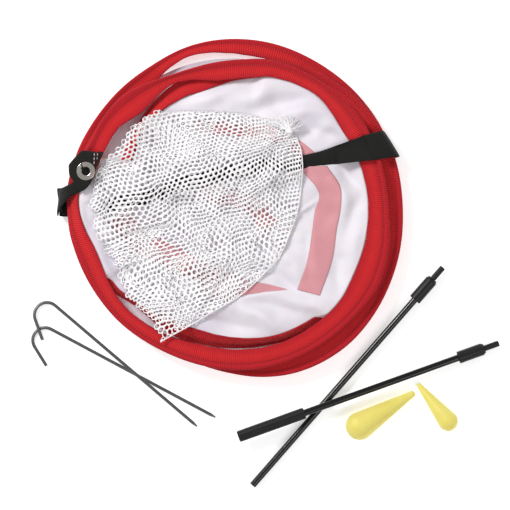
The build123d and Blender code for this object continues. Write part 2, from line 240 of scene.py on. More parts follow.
def tube(points, radii, sides):
    """Points and quads of a round tube along a line, closed at both ends by a fan."""
    points = np.asarray(points, float)
    tangents = np.gradient(points, axis=0)
    tangents /= np.linalg.norm(tangents, axis=1)[:, None] + 1e-12
    side = np.cross(tangents[0], (0.31, 0.22, 0.93))
    side /= np.linalg.norm(side)
    rings = []
    for point, tangent, radius in zip(points, tangents, radii):
        side = square_to(tangent, side)
        other = np.cross(tangent, side)
        for k in range(sides):
            turn = 2 * pi * k / sides
            rings.append(point + radius * (side * cos(turn) + other * sin(turn)))
    return rings, capped_faces(len(points), sides)


def plan_directions(count):
    """Evenly spaced directions all round, in radians."""
    return np.radians(np.arange(count) * 360 / count)


def disc_plan(radius, rings, columns):
    """The plan of each ring of a disc, from its middle out."""
    directions = plan_directions(columns)
    for ring in range(rings):
        share = (ring + 0.6) / (rings - 0.4)
        yield radius * share * np.cos(directions), radius * share * np.sin(directions)


def disc_faces(rings, columns):
    """The quads between a disc's rings, and a face at its middle."""
    return grid_faces(rings, columns, close_columns=True) + [tuple(range(columns))[::-1]]


def gather(parts):
    """Join several (points, faces) into one."""
    points, faces = [], []
    for part_points, part_faces in parts:
        start = len(points)
        points.extend(part_points)
        faces.extend(tuple(i + start for i in face) for face in part_faces)
    return points, faces


# ---------------------------------------------------------------- materials
WAVE_SCALE = 0.314              # the wave texture's scale for ribs one metre apart


class Look:
    """A node material with one Principled shader and small helpers for its textures."""

    def __init__(self, name, color, roughness, **sockets):
        self.material = bpy.data.materials.new(name)
        self.material.use_nodes = True
        self.tree = self.material.node_tree
        self.shader = self.tree.nodes["Principled BSDF"]
        self.shader.inputs["Base Color"].default_value = (*color, 1)
        self.shader.inputs["Roughness"].default_value = roughness
        for key, value in sockets.items():
            self.shader.inputs[key.replace("_", " ")].default_value = value
        self.place = self.node("ShaderNodeTexCoord").outputs["Object"]

    def node(self, kind, inputs=(), **settings):
        node = self.tree.nodes.new(kind)
        for key, value in settings.items():
            setattr(node, key, value)
        for key, value in dict(inputs).items():
            self.feed(node.inputs[key], value)
        return node

    def link(self, source, target):
        self.tree.links.new(source, target)

    def feed(self, socket, value):
        """Give a socket a number, a colour or another node's output."""
        if isinstance(value, (int, float)):
            socket.default_value = value
        elif isinstance(value, tuple):
            socket.default_value = (*value, 1)
        else:
            self.link(value, socket)

    def cloth_place(self):
        """Use the piece's own cloth directions, in metres, in place of its position."""
        self.place = self.node("ShaderNodeUVMap", uv_map="cloth").outputs["UV"]

    def noise(self, scale, detail=3.0, stretch=(1, 1, 1)):
        inputs = {"Scale": scale, "Detail": detail, "Vector": self.mapped(stretch)}
        return self.node("ShaderNodeTexNoise", inputs).outputs["Fac"]

    def mapped(self, stretch, turn=0.0):
        if tuple(stretch) == (1, 1, 1) and not turn:
            return self.place
        node = self.node("ShaderNodeMapping")
        node.inputs["Scale"].default_value = stretch
        node.inputs["Rotation"].default_value = (0, 0, turn)
        self.link(self.place, node.inputs["Vector"])
        return node.outputs["Vector"]

    def waves(self, pitch, axis="X", turn=0.0, warp=0.0):
        """Parallel ribs at a pitch in metres."""
        inputs = {"Scale": WAVE_SCALE / pitch, "Distortion": warp, "Detail": 0.0,
                  "Vector": self.mapped((1, 1, 1), turn)}
        node = self.node("ShaderNodeTexWave", inputs, wave_type="BANDS", bands_direction=axis)
        return node.outputs["Fac"]

    def math(self, operation, first, second):
        node = self.node("ShaderNodeMath", operation=operation)
        for socket, value in zip(node.inputs, (first, second)):
            self.feed(socket, value)
        return node.outputs[0]

    def ramp(self, source, *stops):
        """Colours at stops along a value from 0 to 1."""
        node = self.node("ShaderNodeValToRGB")
        elements = node.color_ramp.elements
        while len(elements) < len(stops):
            elements.new(0.5)
        for element, (position, color) in zip(elements, stops):
            element.position = position
            element.color = (*color, 1)
        self.link(source, node.inputs["Fac"])
        return node.outputs["Color"]

    def blend(self, share, first, second):
        inputs = {0: share, 6: first, 7: second}
        return self.node("ShaderNodeMix", inputs, data_type="RGBA", blend_type="MIX").outputs[2]

    def tint(self, source, share, first, second):
        """Shade the first colour towards the second by a share of a texture."""
        return self.blend(self.math("MULTIPLY", source, share), first, second)

    def color(self, source):
        self.link(source, self.shader.inputs["Base Color"])

    def roughness(self, source, lowest, highest):
        node = self.node("ShaderNodeMapRange", {"To Min": lowest, "To Max": highest, "Value": source})
        self.link(node.outputs["Result"], self.shader.inputs["Roughness"])

    def bump(self, height, distance, strength=1.0):
        inputs = {"Distance": distance, "Strength": strength, "Height": height}
        node = self.node("ShaderNodeBump", inputs)
        if self.shader.inputs["Normal"].links:
            self.link(self.shader.inputs["Normal"].links[0].from_socket, node.inputs["Normal"])
        self.link(node.outputs["Normal"], self.shader.inputs["Normal"])


def webbing_red():
    """Ribbed polyester webbing: cross ribs and fine warp threads. Painted shade darkens both edges and the
    groove along its stitches, with a painted highlight band between.
    """
    look = Look("webbing_red", (0.60, 0.022, 0.026), 0.72, Sheen_Weight=0.06,
                Specular_IOR_Level=0.25)
    look.cloth_place()
    ribs = look.waves(0.0019, "X")
    threads = look.waves(0.0011, "Y")
    across = look.node("ShaderNodeSeparateXYZ")
    look.link(look.place, across.inputs[0])
    worn = look.noise(90, 4)
    share = look.math("MULTIPLY", across.outputs["Y"], 1 / TAPE_WIDTH)
    # Colour across the tape's width: painted shade at both edges and in the stitch groove near 0.70, and a
    # painted highlight band near 0.38.
    tone = look.ramp(share, (0.0, (0.34, 0.003, 0.010)), (0.05, (0.53, 0.008, 0.018)),
                     (0.38, (0.72, 0.019, 0.022)), (0.62, (0.60, 0.011, 0.018)),
                     (0.70, (0.34, 0.003, 0.009)), (0.78, (0.54, 0.008, 0.018)),
                     (1.0, (0.40, 0.004, 0.012)))
    tone = look.tint(ribs, 0.42, tone, (0.31, 0.002, 0.009))
    tone = look.tint(worn, 0.25, tone, (0.74, 0.025, 0.028))
    look.color(tone)
    look.bump(ribs, 0.0005, 0.9)
    look.bump(threads, 0.00012, 0.6)
    look.roughness(worn, 0.62, 0.85)
    return look.material


def panel_white():
    """Thin white knit with a fine grain and a faint lilac cast."""
    look = Look("panel_white", (0.80, 0.77, 0.82), 0.62, Sheen_Weight=0.2,
                Subsurface_Weight=0.12, Subsurface_Scale=0.004)
    patches = look.noise(14, 3)
    grain = look.noise(1500, 2)
    look.color(look.ramp(patches, (0.30, (0.66, 0.61, 0.69)), (0.62, (0.80, 0.76, 0.81))))
    for axis in "XY":
        look.bump(look.waves(0.0009, axis, 0.5, 0.6), 0.00006, 0.5)
    look.bump(grain, 0.00008, 0.5)
    look.roughness(patches, 0.52, 0.70)
    return look.material


def ring_pink():
    """Sheer red ribbon over white: fine diagonal twill lines."""
    look = Look("ring_pink", (0.68, 0.26, 0.30), 0.55, Sheen_Weight=0.2)
    twill = look.waves(0.00175, "X", radians(-52), 0.5)
    patches = look.noise(22, 2)
    tone = look.ramp(twill, (0.30, (0.60, 0.215, 0.245)), (0.75, (0.78, 0.40, 0.42)))
    look.color(look.tint(patches, 0.5, tone, (0.60, 0.23, 0.27)))
    look.bump(twill, 0.00015, 0.6)
    return look.material


def mesh_white():
    """Knitted white yarn."""
    look = Look("mesh_white", (0.92, 0.91, 0.93), 0.7, Sheen_Weight=0.15)
    fibres = look.noise(1900, 3, (1, 0.45, 1))
    look.color(look.ramp(look.noise(60, 2), (0.3, (0.91, 0.89, 0.91)), (0.7, (0.98, 0.965, 0.975))))
    look.bump(fibres, 0.0002, 0.7)
    return look.material


def elastic_black():
    """Black elastic and webbing: fine ribs along the strap, slightly faded crests."""
    look = Look("elastic_black", (0.012, 0.012, 0.011), 0.78, Sheen_Weight=0.05,
                Specular_IOR_Level=0.15)
    look.cloth_place()
    ribs = look.waves(0.0013, "Y")
    weft = look.waves(0.0008, "X")
    worn = look.noise(160, 4)
    tone = look.tint(ribs, 0.7, (0.006, 0.006, 0.006), (0.019, 0.019, 0.017))
    look.color(look.tint(worn, 0.35, tone, (0.030, 0.029, 0.027)))
    look.bump(ribs, 0.0003, 0.8)
    look.bump(weft, 0.00012, 0.7)
    return look.material


def thread(name, color):
    """Sewing thread with a twist."""
    look = Look(name, color, 0.6, Sheen_Weight=0.2)
    twist = look.waves(0.0006, "DIAGONAL")
    look.color(look.tint(twist, 0.4, color, tuple(c * 0.6 for c in color)))
    look.bump(twist, 0.0001, 0.6)
    return look.material


def metal(name, color, roughness, scratches):
    """Metal with fine scratches and duller patches."""
    look = Look(name, color, roughness, Metallic=1.0)
    streaks = look.noise(scratches, 4)
    patches = look.noise(45, 3)
    look.color(look.tint(patches, 0.5, color, tuple(c * 0.6 for c in color)))
    look.roughness(streaks, roughness * 0.7, roughness * 1.5)
    look.bump(streaks, 0.00003, 0.5)
    return look.material


def plastic(name, color, roughness, grain, depth, coat=0.0):
    """Plastic with a fine moulded grain and slight variation."""
    look = Look(name, color, roughness, Coat_Weight=coat, Coat_Roughness=0.12,
                Specular_IOR_Level=0.3)
    marks = look.noise(grain, 4)
    patches = look.noise(70, 3)
    look.color(look.tint(patches, 0.35, color,
                         tuple(min(1, c * 1.5 + 0.004) for c in color)))
    look.roughness(patches, roughness * 0.8, roughness * 1.3)
    look.bump(marks, depth, 0.6)
    return look.material


def float_foam():
    """Pale yellow float: closed-cell foam with a soft skin."""
    look = Look("float_yellow", (0.84, 0.73, 0.15), 0.5, Subsurface_Weight=0.2,
                Subsurface_Scale=0.003, Sheen_Weight=0.15)
    cells = look.noise(900, 3)
    patches = look.noise(38, 3)
    look.color(look.ramp(patches, (0.3, (0.80, 0.68, 0.13)), (0.7, (0.88, 0.79, 0.20))))
    look.bump(cells, 0.0001, 0.5)
    look.bump(patches, 0.0006, 0.4)
    look.roughness(patches, 0.42, 0.6)
    return look.material


def floor_paper():
    """Pale seamless paper."""
    look = Look("floor_paper", (0.93, 0.93, 0.93), 0.9, Emission_Color=(1, 1, 1, 1),
                Emission_Strength=0.45)
    look.bump(look.noise(900, 2), 0.00005, 0.3)
    return look.material


RED = webbing_red()
WHITE = panel_white()
PINK = ring_pink()
NET = mesh_white()
BLACK = elastic_black()
RED_THREAD = thread("thread_red", (0.48, 0.009, 0.014))
WHITE_THREAD = thread("thread_white", (0.78, 0.76, 0.74))

cad_looks = {
    "grommet_nickel": metal("grommet_nickel", (0.72, 0.69, 0.62), 0.18, 500),
    "peg_steel": metal("peg_steel", (0.17, 0.175, 0.175), 0.42, 300),
    "spring_steel": metal("spring_steel", (0.5, 0.5, 0.51), 0.3, 400),
    "rod_black": plastic("rod_black", (0.003, 0.003, 0.003), 0.2, 500, 0.00003, 0.15),
    "moulded_black": plastic("moulded_black", (0.0045, 0.0045, 0.005), 0.45, 1100, 0.00012),
    "float_yellow": float_foam(),
}
for subpart in frame["record"]["subparts"]:
    if subpart["material_slot"] in cad_looks:
        for material_slot in frame["nodes"][subpart["node"]].material_slots:
            material_slot.material = cad_looks[subpart["material_slot"]]


# ---------------------------------------------------------------- the hoop's three coils
# The coils are one loop of wire. Going anticlockwise from the tab: the top coil all round, then
# the coil that bulges out at the right and crosses inside at the upper left, then the coil that
# shows inside at the bottom and outside at the top. Each row: direction in degrees, radius of
# the outer and of the inner edge, height of the outer and of the inner edge.
COILS = (
    (168, 146.5, 134, 15, 23), (175, 146.9, 136, 14, 23.5), (182, 145.8, 135, 14.5, 23.5),
    (189, 145.7, 131, 17, 23), (198, 144.4, 126.5, 20, 22), (210, 143.5, 127, 20.5, 21.5),
    (224, 143, 129.6, 20, 22.5), (238, 142.2, 128.6, 20.5, 22.5), (258, 143.8, 126, 21.5, 22),
    (278, 146.5, 127.6, 21.5, 22), (300, 146.8, 128.6, 21.5, 22), (319, 147.8, 128.6, 21.5, 22),
    (330, 149.4, 125.4, 21, 21.5), (342, 147.2, 124, 21, 21.5), (360, 141, 123, 21.5, 21.5),
    (380, 140.6, 121.8, 22, 21.5), (395, 140.6, 121, 22, 21), (412, 138.2, 125.2, 22, 20.5),
    (430, 136.6, 122.5, 22, 21), (450, 131.2, 114, 22, 21), (458, 129.8, 113.8, 22, 21),
    (466, 129, 118.6, 22, 20.5), (475, 129.8, 121.2, 22, 20.5), (484, 133.6, 118.6, 22, 20.5),
    (494, 138.6, 116.8, 22, 21), (506, 139.4, 123, 22, 21), (516, 138.6, 123, 21.5, 21),
    (526, 142, 125, 16, 17.5), (540, 142.5, 127, 10.5, 11.5), (560, 141, 125, 11, 11.5),
    (573, 140.6, 129.5, 11.2, 11.8), (588, 140, 131.5, 11.5, 12), (600, 140.6, 129.5, 12, 12.2),
    (612, 141.5, 125, 12.5, 12.5), (630, 148.8, 132, 13, 13), (638, 153.5, 136.5, 13.5, 13),
    (652, 159.4, 142, 14, 13.5), (668, 161.9, 144, 14, 13.5), (684, 160, 142, 13.5, 13),
    (700, 157.2, 139, 13, 13), (722, 154, 136.5, 12.5, 13), (744, 153.2, 136, 12.5, 13),
    (758, 150.8, 134, 13, 13.5), (772, 145.6, 129, 13.5, 14.5), (790, 139.2, 122, 14.5, 15.5),
    (806, 132.5, 114.6, 15, 16.5), (822, 125, 107.2, 15, 17), (838, 120.6, 106.6, 14, 17.5),
    (850, 115.4, 105.6, 12.5, 18), (862, 110.6, 101.5, 12, 18), (874, 107.6, 98, 11, 17),
    (886, 109.6, 96, 9.5, 12.5), (904, 121, 105, 8, 9), (922, 134, 120, 7.5, 12),
    (935, 129.4, 124.4, 7.2, 18), (946, 122, 117.6, 7.2, 19), (954, 122.6, 115, 7.2, 18.6),
    (963, 126, 113.9, 7.5, 17.8), (976, 125.2, 113.9, 7.5, 18), (992, 125.6, 117.2, 7, 18),
    (1008, 128, 121.2, 6.5, 18), (1024, 132, 123.2, 6, 17.5), (1042, 140, 126, 6, 11),
    (1064, 148, 131, 6, 7.5), (1086, 151.6, 134.5, 6, 7), (1104, 152.8, 136, 6.2, 7),
    (1122, 152.4, 136, 6.5, 7.5), (1146, 151.8, 136, 7, 8), (1164, 151.6, 137.4, 7.5, 8.5),
    (1188, 148.6, 139.6, 8.5, 9.5), (1200, 145.8, 132, 9.5, 10.5), (1216, 145, 129, 10.5, 12.5),
    (1232, 145.4, 129.5, 12.5, 17), (1241, 146.2, 131.5, 14, 21),
)
HOOP_COILS = 3
HOOP_RADIUS = 0.136             # about the middle of the webbing, in metres
WHOLE_LOOP = 1080
COIL_STATIONS = 900
# Half the binding's thickness at shares of its width, from the inner edge to the wire's bead.
BINDING_PROFILE = (
    (0.00, 0.30), (0.015, 0.85), (0.06, 1.05), (0.16, 0.95), (0.32, 0.98), (0.50, 0.98),
    (0.64, 0.95), (0.71, 0.82), (0.76, 1.10), (0.82, 1.50), (0.88, 1.72), (0.94, 1.62),
    (0.98, 1.15), (1.00, 0.50),
)
STITCH_SHARE = 0.71
STITCH_PITCH = 2.9
STITCH_RADIUS = 138             # about that of the row of stitches


def coil_rows(directions):
    """Edge radii and heights of the coils at directions along the whole loop."""
    rows = smooth_track(COILS, directions, WHOLE_LOOP)
    turn = np.radians(directions)
    flutter = np.array([
        [noise.noise(Vector((a * 2.4, 3.1, k * 7.7))) for k in range(4)]
        for a in turn
    ])
    pleats = np.array([noise.noise(Vector((a * 11.0, 8.3, 0.0))) for a in turn])
    rows = rows + flutter * (0.7, 0.9, 0.6, 1.0)
    rows[:, 1] += pleats * 0.7
    rows[:, 3] += pleats * 1.2
    return rows


def coil_point(direction, row, share, height):
    """A point of the binding at a share of its width and a height off its middle surface."""
    outer, inner, outer_level, inner_level = row
    width = hypot(outer - inner, outer_level - inner_level)
    off_radius = -(outer_level - inner_level) / width * height
    off_level = (outer - inner) / width * height
    radius = inner + (outer - inner) * share + off_radius
    level = inner_level + (outer_level - inner_level) * share + off_level
    turn = radians(direction)
    return radius * cos(turn), radius * sin(turn), level


def build_binding():
    """The red webbing over the wire, round all three coils, and its two rows of stitches."""
    directions = COILS[0][0] + np.arange(COIL_STATIONS) * WHOLE_LOOP / COIL_STATIONS
    rows = coil_rows(directions)
    profile = [(share, half) for share, half in BINDING_PROFILE]
    profile += [(share, -half) for share, half in BINDING_PROFILE[::-1]]
    points, uv = [], []
    arc = 2 * pi * HOOP_RADIUS * HOOP_COILS / COIL_STATIONS
    for station, (direction, row) in enumerate(zip(directions, rows)):
        for share, height in profile:
            points.append(coil_point(direction, row, share, height))
            uv.append((station * arc, share * TAPE_WIDTH))
    faces = grid_faces(COIL_STATIONS, len(profile), close_rows=True, close_columns=True)
    binding = add_piece("binding_webbing", points, faces, RED, uv)
    add_modifier(binding, "SUBSURF", levels=1, render_levels=1)

    pitch = 360 * STITCH_PITCH / (2 * pi * STITCH_RADIUS)
    count = int(WHOLE_LOOP / pitch)
    parts = []
    for side in (1, -1):
        for index in range(count):
            ends = COILS[0][0] + (index + np.array([0.16, 0.5, 0.84])) * WHOLE_LOOP / count
            line = [
                coil_point(place, row, STITCH_SHARE, side * lift)
                for place, row, lift in zip(ends, coil_rows(ends), (0.88, 1.08, 0.88))
            ]
            parts.append(tube(line, (0.16, 0.24, 0.16), 5))
    stitches = add_piece("binding_stitches", *gather(parts), RED_THREAD)
    return binding, stitches


binding, binding_stitches = build_binding()

# The wire's joint shows as a seam across the rim, just below the tab.
SEAM_DIRECTIONS = (177.2, 178.0)


def build_seam():
    """Two bars of stitches across the binding where its ends are lapped."""
    parts = []
    for direction in SEAM_DIRECTIONS:
        row = coil_rows(np.array([direction]))[0]
        for start in np.arange(0.05, 0.95, 0.1):
            shares = (start, start + 0.04, start + 0.08)
            half = np.interp(shares, *np.array(BINDING_PROFILE).T)
            line = [coil_point(direction, row, s, h + 0.15) for s, h in zip(shares, half)]
            parts.append(tube(line, (0.18, 0.28, 0.18), 5))
    return add_piece("binding_seam", *gather(parts), RED_THREAD)


binding_seam = build_seam()

# ---------------------------------------------------------------- the knitted panel
FOLD_LINES = (
    # line, width, height
    (((-6, 88), (22, 100), (48, 116)), 9, 2.6),
    (((14, 84), (40, 92), (72, 100)), 7, -2.4),
    (((44, 78), (66, 86), (92, 88)), 7, 2.4),
    (((60, 68), (78, 68), (104, 62)), 6, -2.6),
    (((-40, 90), (-16, 98), (10, 112)), 6, 1.8),
    (((66, 60), (90, 74), (106, 74)), 5, 1.2),
    (((98, 40), (104, 28), (122, 12)), 5, -1.8),
    (((88, 30), (101, 12), (104, -10)), 6, 1.6),
    (((124, 18), (109, -4), (103, -30)), 6, -2.0),
    (((122, -8), (112, -30), (108, -62)), 7, 1.8),
    (((52, -9), (66, -2), (79, 7)), 2.2, 0.9),
    (((56, -18), (68, -26), (70, -62)), 5, -1.0),
    (((44, -40), (56, -50), (62, -68)), 6, 1.2),
    (((20, -56), (40, -60), (58, -72)), 5, -1.0),
    (((98, -40), (96, -60), (100, -82)), 6, -1.6),
    (((4, -92), (24, -94), (44, -112)), 6, 1.6),
    (((10, -86), (34, -88), (66, -96)), 6, -1.6),
    (((42, -80), (66, -88), (92, -92)), 6, 1.4),
    (((-30, -98), (0, -106), (30, -110)), 5, -1.3),
    (((-124, -30), (-116, -50), (-104, -68)), 5, 1.8),
    (((-114, -28), (-108, -48), (-92, -72)), 5, -1.8),
    (((-100, -66), (-84, -84), (-58, -104)), 5, 1.2),
    (((-132, 8), (-128, -10), (-122, -26)), 4, -1.8),
)
FLAP_EDGE = ((-6, -85), (1, -82), (22.6, -78), (43, -74), (58, -74.5), (79.5, -80), (100, -83))
PANEL_MIDDLE = 17.0
UNDERLAY_LEVEL = 8.0
LOWER_LAYER_LEVEL = 4.2
LOWER_LAYER_RADIUS = 134.0
CARRIER_LEVEL = 16.0            # a coil whose inner edge is higher than this carries the panel


def panel_edge():
    """The panel's edge for each degree: the innermost coil that carries it, smoothed."""
    directions = np.arange(360.0)
    radius = np.full(360, 1e9)
    level = np.zeros(360)
    for turn in range(4):
        place = directions + 360 * turn
        wanted = (place >= COILS[0][0]) & (place < COILS[0][0] + WHOLE_LOOP)
        rows = smooth_track(COILS, place, WHOLE_LOOP)
        closer = wanted & (rows[:, 3] > CARRIER_LEVEL) & (rows[:, 1] < radius)
        radius = np.where(closer, rows[:, 1], radius)
        level = np.where(closer, rows[:, 3], level)
    soften = np.hanning(9) / np.hanning(9).sum()
    radius, level = (
        np.convolve(np.concatenate([v[-8:], v, v[:8]]), soften, "same")[8:-8]
        for v in (radius, level)
    )
    return radius, level


EDGE_RADIUS, EDGE_LEVEL = panel_edge()


def edge_at(x, y):
    """The panel's edge radius and level in the direction of each point."""
    direction = np.degrees(np.arctan2(y, x)) % 360
    wrapped = np.arange(361.0)
    radius = np.interp(direction, wrapped, np.append(EDGE_RADIUS, EDGE_RADIUS[0]))
    level = np.interp(direction, wrapped, np.append(EDGE_LEVEL, EDGE_LEVEL[0]))
    return radius, level


def panel_height(x, y):
    """The height of the folded panel's upper layer."""
    x, y = np.asarray(x, float), np.asarray(y, float)
    radius, level = edge_at(x, y)
    share = np.clip(np.hypot(x, y) / radius, 0, 1)
    height = PANEL_MIDDLE + (level - 1.1 - PANEL_MIDDLE) * share**4
    folds = 2.1 * sum(ridge(x, y, line, width, rise) for line, width, rise in FOLD_LINES)
    folds = folds + 3.6 * rumple(x, y, 30, 2.0) + 1.1 * rumple(x, y, 13, 5.0)
    height = height + folds * (1 - share**16)
    flap = lap(x, y, FLAP_EDGE[::-1], 2.4, 0.35, 60.0) * (1 - share**16)
    return height + flap


def build_panel():
    """The upper layer, which runs on under the coils as the layer that shows in the gaps."""
    columns, rings, skirt = 420, 84, 9
    directions = plan_directions(columns)
    radius, level = edge_at(np.cos(directions), np.sin(directions))
    outer = np.clip(radius + 14, 128, 141)
    points = [np.column_stack([x, y, panel_height(x, y)])
              for x, y in disc_plan(radius, rings, columns)]
    for ring in range(1, skirt + 1):
        share = ring / skirt
        reach = radius + (outer - radius) * share**1.2
        x, y = reach * np.cos(directions), reach * np.sin(directions)
        drop = 1 - (1 - min(1, share * 1.6)) ** 2
        height = (level - 1.1) * (1 - drop) + UNDERLAY_LEVEL * drop
        height = height + 0.7 * rumple(x, y, 9, 8.0) * drop
        points.append(np.column_stack([x, y, height]))
    faces = disc_faces(rings + skirt, columns)
    return add_piece("panel_upper_layer", np.vstack(points), faces, WHITE)


def build_panel_back():
    """The lower layer, seen from below."""
    columns, rings = 300, 50
    points = []
    for x, y in disc_plan(LOWER_LAYER_RADIUS, rings, columns):
        height = LOWER_LAYER_LEVEL + 1.1 * rumple(x, y, 30, 11.0) + 0.5 * rumple(x, y, 11, 12.0)
        points.append(np.column_stack([x, y, height]))
    return add_piece("panel_lower_layer", np.vstack(points), disc_faces(rings, columns), WHITE)


panel = build_panel()
panel_back = build_panel_back()

# The ring band is seen in several folded stretches. Each is the two edges of a ribbon.
RING_STRETCHES = {
    "ring_top": (((-30, 78), (10, 74), (40, 70), (62, 59.5), (77, 47.5)),
                 ((-30, 66), (10, 63), (40, 58), (57, 49), (64, 43))),
    "ring_right": (((61, 36), (79, 8), (75.6, -2), (73, -20), (69, -45.5), (59.6, -73.6)),
                   ((86, 37), (98, 17), (98, -2), (94.6, -20), (91, -45.5), (79.6, -79))),
    "ring_foot": (((6, -63), (18, -66), (34, -69), (50, -73.2)),
                  ((-10, -84.5), (1, -81), (22.6, -77), (50, -73.8))),
    "ring_left": (((-98, 6), (-84, -14), (-50, -34), (-16, -52), (8, -62)),
                  ((-110, -14), (-92, -34), (-58, -54), (-26, -72), (-10, -84))),
    "ring_middle": (((-30, 22), (0, 16), (24, 8), (42, -14)),
                    ((-26, 6), (0, 1), (16, -6), (27, -26))),
}


def build_ring():
    """Ribbons of the ring band, laid on the panel."""
    made = []
    for name, (first, second) in RING_STRETCHES.items():
        count, across = 110, 18
        line_a, line_b = smooth_line(first, count), smooth_line(second, count)
        share = np.linspace(0, 1, across)[None, :, None]
        plan = line_a[:, None] * (1 - share) + line_b[:, None] * share
        x, y = plan[..., 0].ravel(), plan[..., 1].ravel()
        lift = 0.45 - 0.35 * (np.abs(np.tile(np.linspace(-1, 1, across), count)) ** 12)
        points = np.column_stack([x, y, panel_height(x, y) + lift])
        piece = add_piece(name, points, grid_faces(count, across), PINK)
        add_modifier(piece, "SOLIDIFY", thickness=0.3 * MM, offset=-1)
        made.append(piece)
    return made


ring_pieces = build_ring()

# ---------------------------------------------------------------- the strap
# Along the strap: x, y, height of its middle, its width as seen, and its lean in degrees.
STRAP_ROUTE = (
    (134.5, 55.2, 25.2, 24.6, 0), (125, 53.2, 25.4, 23.6, 0), (112, 50.2, 23.4, 20.6, 6),
    (98, 46.6, 21.0, 17.6, 12), (80, 42.2, 20.0, 14.0, 14), (63, 39.4, 20.0, 11.4, 12),
    (31, 37.0, 20.0, 11.4, 4), (1, 32.0, 19.6, 11.6, 0), (-30, 24.5, 19.4, 12.0, 0),
    (-62, 13.6, 19.4, 12.4, 0), (-92, 5.0, 19.6, 13.0, 0), (-118, -1.5, 19.2, 15.0, 0),
    (-134, 1.5, 14.5, 19.0, 0), (-146, 4.0, 9.5, 23.0, 0), (-153.2, 5.0, 6.4, 24.6, 0),
    (-154.4, 4.8, 3.4, 25.0, 0), (-150.5, 4.2, 1.1, 25.0, 0), (-138, 5.6, 0.62, 25.0, 0),
    (-90, 14.0, 0.62, 25.0, 0), (0, 30.0, 0.62, 25.0, 0), (90, 46.2, 0.62, 25.0, 0),
    (126, 52.7, 0.95, 25.0, 0), (138.4, 55.3, 1.5, 25.0, 0), (143.0, 56.5, 5.0, 25.0, 0),
    (144.0, 56.9, 10.0, 25.0, 0), (143.6, 56.9, 16.5, 25.0, 0), (140.8, 56.5, 22.6, 24.8, 0),
)
STRAP_TRUE_WIDTH = 25.0
STRAP_HALF_THICKNESS = 0.55
STRAP_CURL = 0.38               # how far its edges curl under, of a round curl
STRAP_SLANT = 0.40              # its right end follows the rim's slant
SLANT_FROM = 112
SLANT_OVER = 24


def chord_bend(share):
    """The half angle of an arc whose chord is a share of its length."""
    angle = 0.0
    while angle < pi and (sin(angle) / angle if angle else 1.0) > share:
        angle += 0.01
    return max(angle, 0.01)


def band_section(shares, power, thinning):
    """Round a band's section: the share of its half width, and its face's height there."""
    for face in (1, -1):
        for share in shares[::face]:
            yield share, face * STRAP_HALF_THICKNESS * (1 - abs(share) ** power * thinning)


def build_strap():
    """The elastic strap round the bundle; where it is drawn narrow, its edges curl under."""
    stations = smooth_line([*STRAP_ROUTE, STRAP_ROUTE[0]], 420)[:-1]
    count = len(stations)
    middle = stations[:, :3]
    forward = np.roll(middle, -1, axis=0) - np.roll(middle, 1, axis=0)
    forward /= np.linalg.norm(forward, axis=1)[:, None]
    shares = np.linspace(-1, 1, 17)
    points, uv = [], []
    walked = 0.0
    centre = np.array([0.0, 30.0, 12.5])
    along_strap = np.array([0.984, 0.175, 0.0])
    across_strap = np.array([-0.175, 0.984, 0.0])
    for index in range(count):
        tangent = forward[index]
        side = square_to(tangent, across_strap)
        outward = np.cross(tangent, side)
        if outward.dot(middle[index] - centre) < 0:
            outward = -outward
        lean = radians(stations[index, 4])
        side_leaned = side * cos(lean) + outward * sin(lean)
        outward_leaned = outward * cos(lean) - side * sin(lean)
        half_angle = chord_bend(min(0.999, stations[index, 3] / STRAP_TRUE_WIDTH))
        radius = STRAP_TRUE_WIDTH / 2 / half_angle
        wave = 0.25 * noise.noise(Vector((walked / 18, 0.0, 4.0)))
        slanted = min(max((middle[index][0] - SLANT_FROM) / SLANT_OVER, 0), 1)
        for share, face in band_section(shares, 10, 0.6):
            angle = share * half_angle
            reach = radius * sin(angle)
            sag = -radius * (1 - cos(angle)) * STRAP_CURL
            points.append(
                middle[index]
                + side_leaned * reach - along_strap * (STRAP_SLANT * reach * slanted)
                + outward_leaned * (sag + wave + face)
            )
            uv.append((walked * MM, share * STRAP_TRUE_WIDTH / 2 * MM))
        step = middle[(index + 1) % count] - middle[index]
        walked += float(np.linalg.norm(step))
    faces = grid_faces(count, 2 * len(shares), close_rows=True, close_columns=True)
    return add_piece("strap_elastic", above_floor(points), faces, BLACK, uv)


strap = build_strap()

# The strap's tail comes up outside the rim and is sewn under the tab.
TAIL_ROUTE = (
    (-153.8, 1.0, 4.0, 21.0), (-154.4, 5.0, 11.0, 19.0), (-151.6, 9.6, 19.0, 15.0),
    (-146.0, 13.6, 24.2, 10.5), (-139.5, 16.6, 25.4, 10.5), (-133.5, 21.0, 25.6, 13.0),
    (-129.5, 27.5, 25.6, 14.5), (-127.0, 38.0, 25.6, 15.0),
)


def build_tail():
    """A short black band from outside the rim to the tab."""
    stations = smooth_line(TAIL_ROUTE, 46)
    middle = stations[:, :3]
    forward = np.gradient(middle, axis=0)
    forward /= np.linalg.norm(forward, axis=1)[:, None]
    points, uv = [], []
    shares = np.linspace(-1, 1, 9)
    walked = 0.0
    for index, tangent in enumerate(forward):
        side = square_to(tangent, np.array([0.10, 0.99, 0.10]))
        outward = np.cross(side, tangent)
        if outward.dot((-0.6, 0, 0.8)) < 0:
            outward = -outward
        for share, face in band_section(shares, 8, 0.5):
            bow = -0.6 * share**2
            points.append(middle[index] + side * share * stations[index, 3] / 2
                          + outward * (bow + face))
            uv.append((walked * MM, share * stations[index, 3] / 2 * MM))
        if index + 1 < len(middle):
            walked += float(np.linalg.norm(middle[index + 1] - middle[index]))
    faces = capped_faces(len(stations), 2 * len(shares))
    return add_piece("strap_tail", above_floor(points), faces, BLACK, uv)


strap_tail = build_tail()

